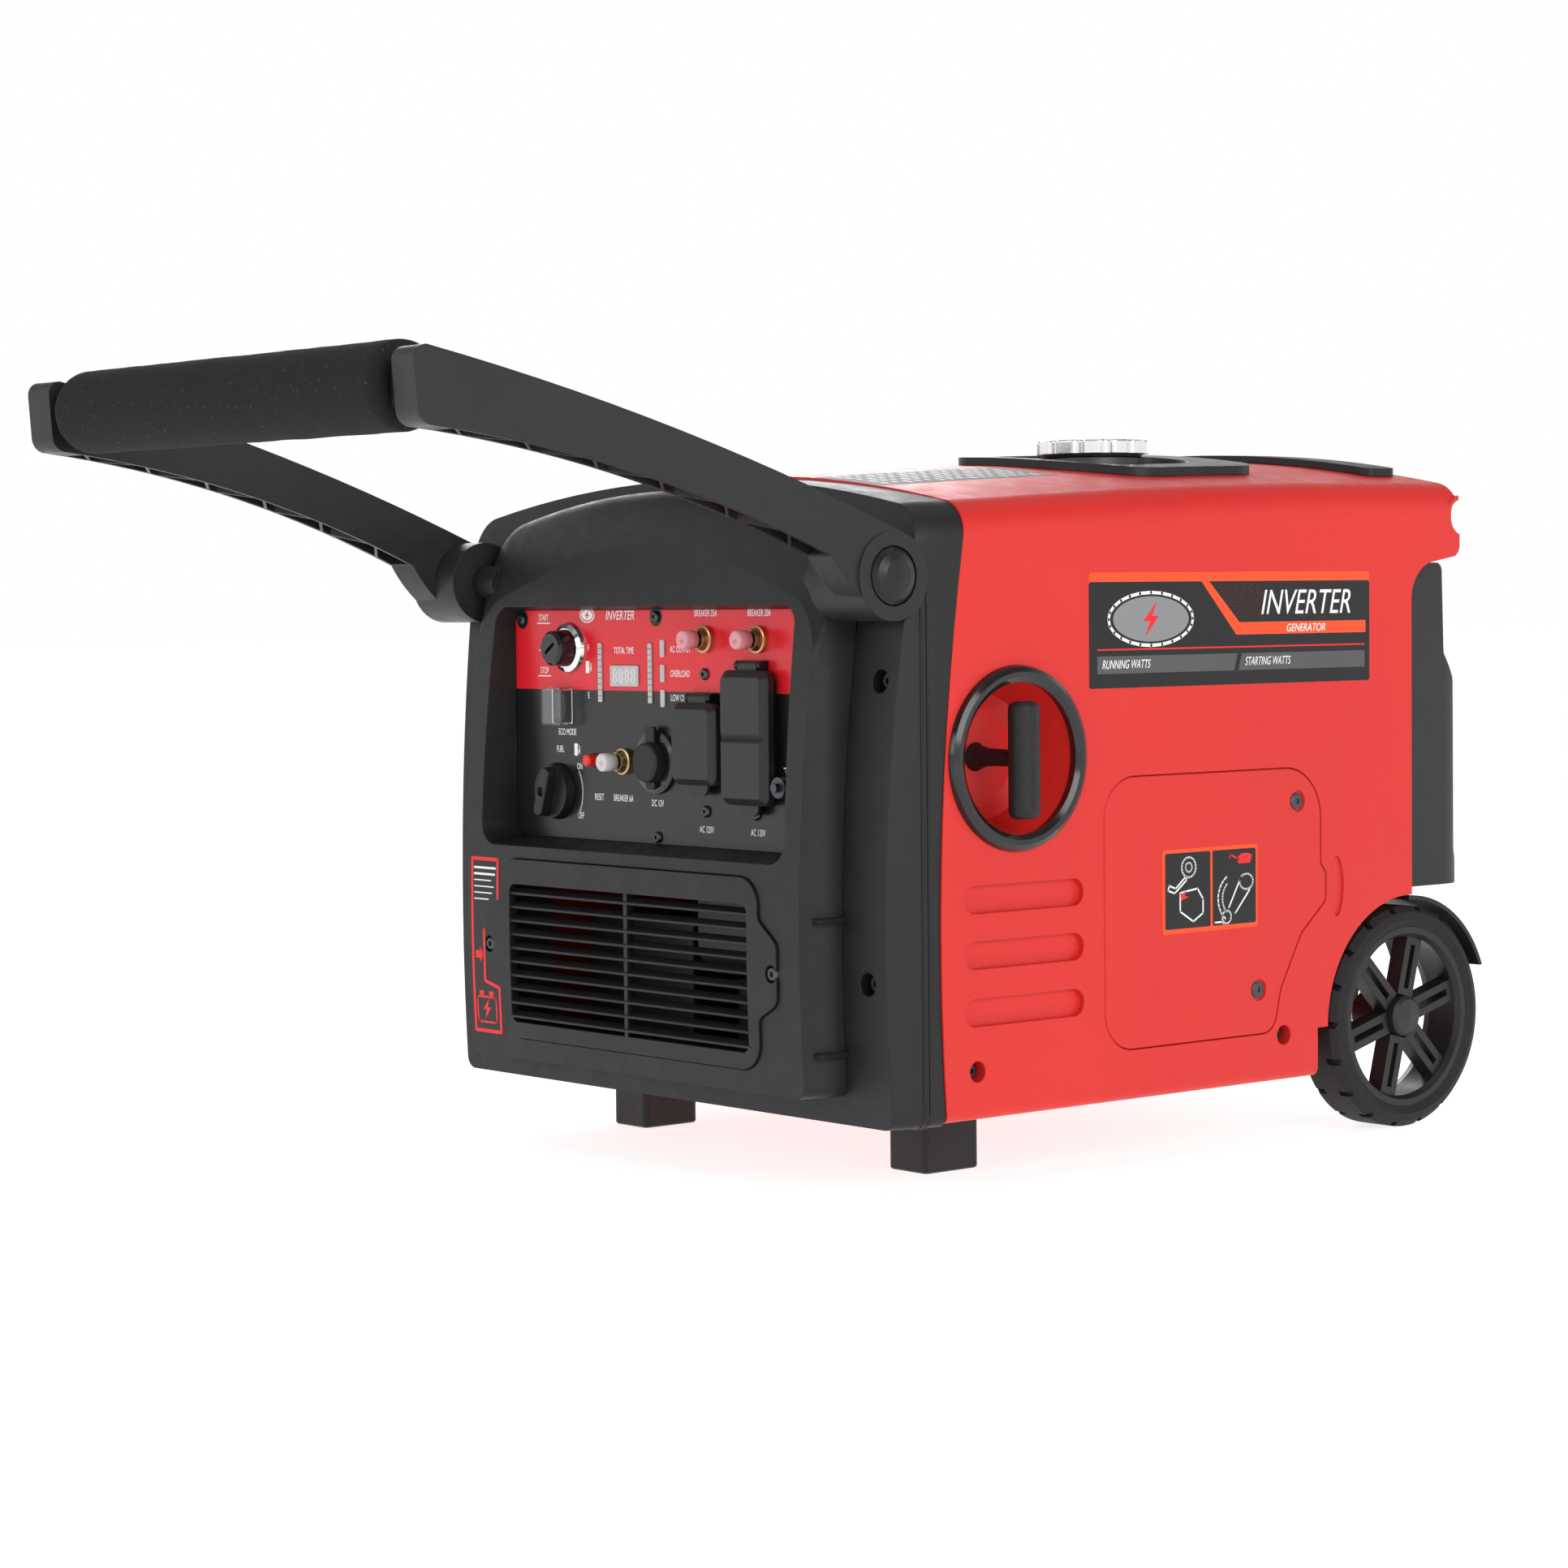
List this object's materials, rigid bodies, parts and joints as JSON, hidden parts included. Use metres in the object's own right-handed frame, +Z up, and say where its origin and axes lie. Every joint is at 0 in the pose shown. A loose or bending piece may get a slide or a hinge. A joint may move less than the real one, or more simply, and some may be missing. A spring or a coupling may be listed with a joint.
{
  "type": "inverter generator",
  "caption": "Closed-frame portable inverter generator with a fold-down tow handle, two wheels, recoil starter and recessed outlet panel.",
  "frame": {"origin": "on the floor, under the middle of the bounding box", "axes": "+Z up, -Y towards the control panel and the handle, +X towards the recoil starter side"},
  "size_m": [0.4838, 0.893, 0.508],
  "materials": {
    "red_casing": "satin red moulded ABS",
    "black_frame": "fine textured black",
    "black_panel": "smooth black film with a red field",
    "chrome_trim": "bright chrome",
    "switch_black": "semi-gloss black",
    "flap_black": "semi-gloss black",
    "clear_boot": "clear soft plastic",
    "breaker_caps": "clear pink boot over a button",
    "rubber_parts": "soft black rubber",
    "gloss_ring": "gloss black",
    "charcoal_cover": "textured charcoal",
    "steel_parts": "plain steel",
    "zinc_screws": "dark zinc",
    "handle_plastic": "fine textured black",
    "grip_foam_black": "matte closed-cell foam",
    "rim_plastic": "textured black nylon",
    "tyre_rubber": "matte black tread",
    "cast_alloy": "as cast",
    "stator_iron": "laminated iron",
    "intake_plastic": "moulded black"
  },
  "bodies": {
    "casing": {"right_shell": "red_casing", "left_shell": "red_casing", "side_door": "red_casing", "front_frame": "black_frame", "front_bezel": "black_frame", "battery_cover": "black_frame", "control_panel": "black_panel", "ignition_ring": "chrome_trim", "breaker_bushes": "chrome_trim", "dc_socket": "switch_black", "ac_outlet_single": "switch_black", "ac_outlet_duplex": "switch_black", "flap_hinge_brackets": "switch_black", "display_lenses": "clear_boot", "ground_terminal": "zinc_screws", "starter_ring": "gloss_ring", "recoil_housing": "charcoal_cover", "fuel_tray": "black_frame", "fuel_tank": "steel_parts", "rear_trim": "black_frame", "rear_cover": "charcoal_cover", "exhaust_outlet": "steel_parts", "base_pan": "black_frame", "front_feet": "rubber_parts", "axle": "steel_parts", "axle_brackets": "black_frame", "pivot_pins": "steel_parts", "crankcase": "cast_alloy", "cylinder_head": "cast_alloy", "muffler": "cast_alloy", "alternator_stator": "stator_iron", "intake": "intake_plastic", "inverter_module": "cast_alloy", "battery": "intake_plastic", "engine_mounts": "rubber_parts", "case_screws": "zinc_screws", "panel_screws": "zinc_screws"},
    "handle": {"handle_arm_right": "handle_plastic", "handle_arm_left": "handle_plastic", "handle_tube": "handle_plastic", "grip_foam": "grip_foam_black", "pivot_caps": "gloss_ring"},
    "right_wheel": {"right_rim": "rim_plastic", "right_tyre": "tyre_rubber"},
    "left_wheel": {"left_rim": "rim_plastic", "left_tyre": "tyre_rubber"},
    "filler_cap": {"fuel_cap": "chrome_trim"},
    "starter_grip": {"starter_handle": "rubber_parts"},
    "ignition_switch": {"ignition_barrel": "switch_black"},
    "eco_switch": {"eco_rocker": "switch_black"},
    "eco_flap": {"eco_cover": "clear_boot"},
    "fuel_valve": {"fuel_knob": "switch_black"},
    "reset": {"reset_button": "switch_black"},
    "breaker_25a": {"breaker_button_25a": "breaker_caps"},
    "breaker_20a": {"breaker_button_20a": "breaker_caps"},
    "breaker_6a": {"breaker_button_6a": "breaker_caps"},
    "single_flap": {"ac_flap_single": "flap_black"},
    "duplex_flap": {"ac_flap_duplex": "flap_black"},
    "dc_flap": {"dc_cap": "rubber_parts"},
    "rotor": {"engine_rotor": "steel_parts"}
  },
  "joints": [
    {"name": "handle_fold", "type": "hinge", "parent": "casing", "child": "handle", "pos_m": [0, -0.112, 0.375], "axis": [1, 0, 0], "range_deg": [0, 98]},
    {"name": "right_wheel_spin", "type": "hinge", "parent": "casing", "child": "right_wheel", "pos_m": [0.212, 0.354, 0.075], "axis": [1, 0, 0], "continuous": true},
    {"name": "left_wheel_spin", "type": "hinge", "parent": "casing", "child": "left_wheel", "pos_m": [-0.212, 0.354, 0.075], "axis": [1, 0, 0], "continuous": true},
    {"name": "fuel_cap_turn", "type": "hinge", "parent": "casing", "child": "filler_cap", "pos_m": [0.095, 0.19, 0.46], "axis": [0, 0, 1], "range_deg": [0, 120]},
    {"name": "starter_pull", "type": "slide", "parent": "casing", "child": "starter_grip", "axis": [1, 0, 0], "range_m": [0, 0.65], "stiffness_N_per_m": 20, "springref_m": -0.2},
    {"name": "ignition_turn", "type": "hinge", "parent": "casing", "child": "ignition_switch", "pos_m": [-0.093, -0.118, 0.331], "axis": [0, -1, 0], "range_deg": [-40, 40]},
    {"name": "eco_rock", "type": "hinge", "parent": "casing", "child": "eco_switch", "pos_m": [-0.101, -0.106, 0.2925], "axis": [1, 0, 0], "range_deg": [-8, 8]},
    {"name": "eco_cover_lift", "type": "hinge", "parent": "casing", "child": "eco_flap", "pos_m": [-0.101, -0.1108, 0.3052], "axis": [-1, 0, 0], "range_deg": [0, 65]},
    {"name": "fuel_valve_turn", "type": "hinge", "parent": "casing", "child": "fuel_valve", "pos_m": [-0.107, -0.116, 0.236], "axis": [0, -1, 0], "range_deg": [-70, 0]},
    {"name": "reset_press", "type": "slide", "parent": "casing", "child": "reset", "axis": [0, 1, 0], "range_m": [0, 0.003], "stiffness_N_per_m": 300, "springref_m": -0.001},
    {"name": "breaker_25a_press", "type": "slide", "parent": "casing", "child": "breaker_25a", "axis": [0, 1, 0], "range_m": [0, 0.002], "stiffness_N_per_m": 400, "springref_m": -0.002},
    {"name": "breaker_20a_press", "type": "slide", "parent": "casing", "child": "breaker_20a", "axis": [0, 1, 0], "range_m": [0, 0.002], "stiffness_N_per_m": 400, "springref_m": -0.002},
    {"name": "breaker_6a_press", "type": "slide", "parent": "casing", "child": "breaker_6a", "axis": [0, 1, 0], "range_m": [0, 0.002], "stiffness_N_per_m": 400, "springref_m": -0.002},
    {"name": "single_flap_lift", "type": "hinge", "parent": "casing", "child": "single_flap", "pos_m": [0.05, -0.1144, 0.3], "axis": [-1, 0, 0], "range_deg": [0, 95], "stiffness_Nm_per_rad": 0.02, "springref_deg": -17.19},
    {"name": "duplex_flap_lift", "type": "hinge", "parent": "casing", "child": "duplex_flap", "pos_m": [0.1, -0.1144, 0.321], "axis": [-1, 0, 0], "range_deg": [0, 80], "stiffness_Nm_per_rad": 0.03, "springref_deg": -17.19},
    {"name": "dc_cap_lift", "type": "hinge", "parent": "casing", "child": "dc_flap", "pos_m": [0, -0.1139, 0.2806], "axis": [-1, 0, 0], "range_deg": [0, 100]},
    {"name": "rotor_spin", "type": "hinge", "parent": "casing", "child": "rotor", "pos_m": [0.1, -0.011, 0.263], "axis": [1, 0, 0], "continuous": true}
  ]
}
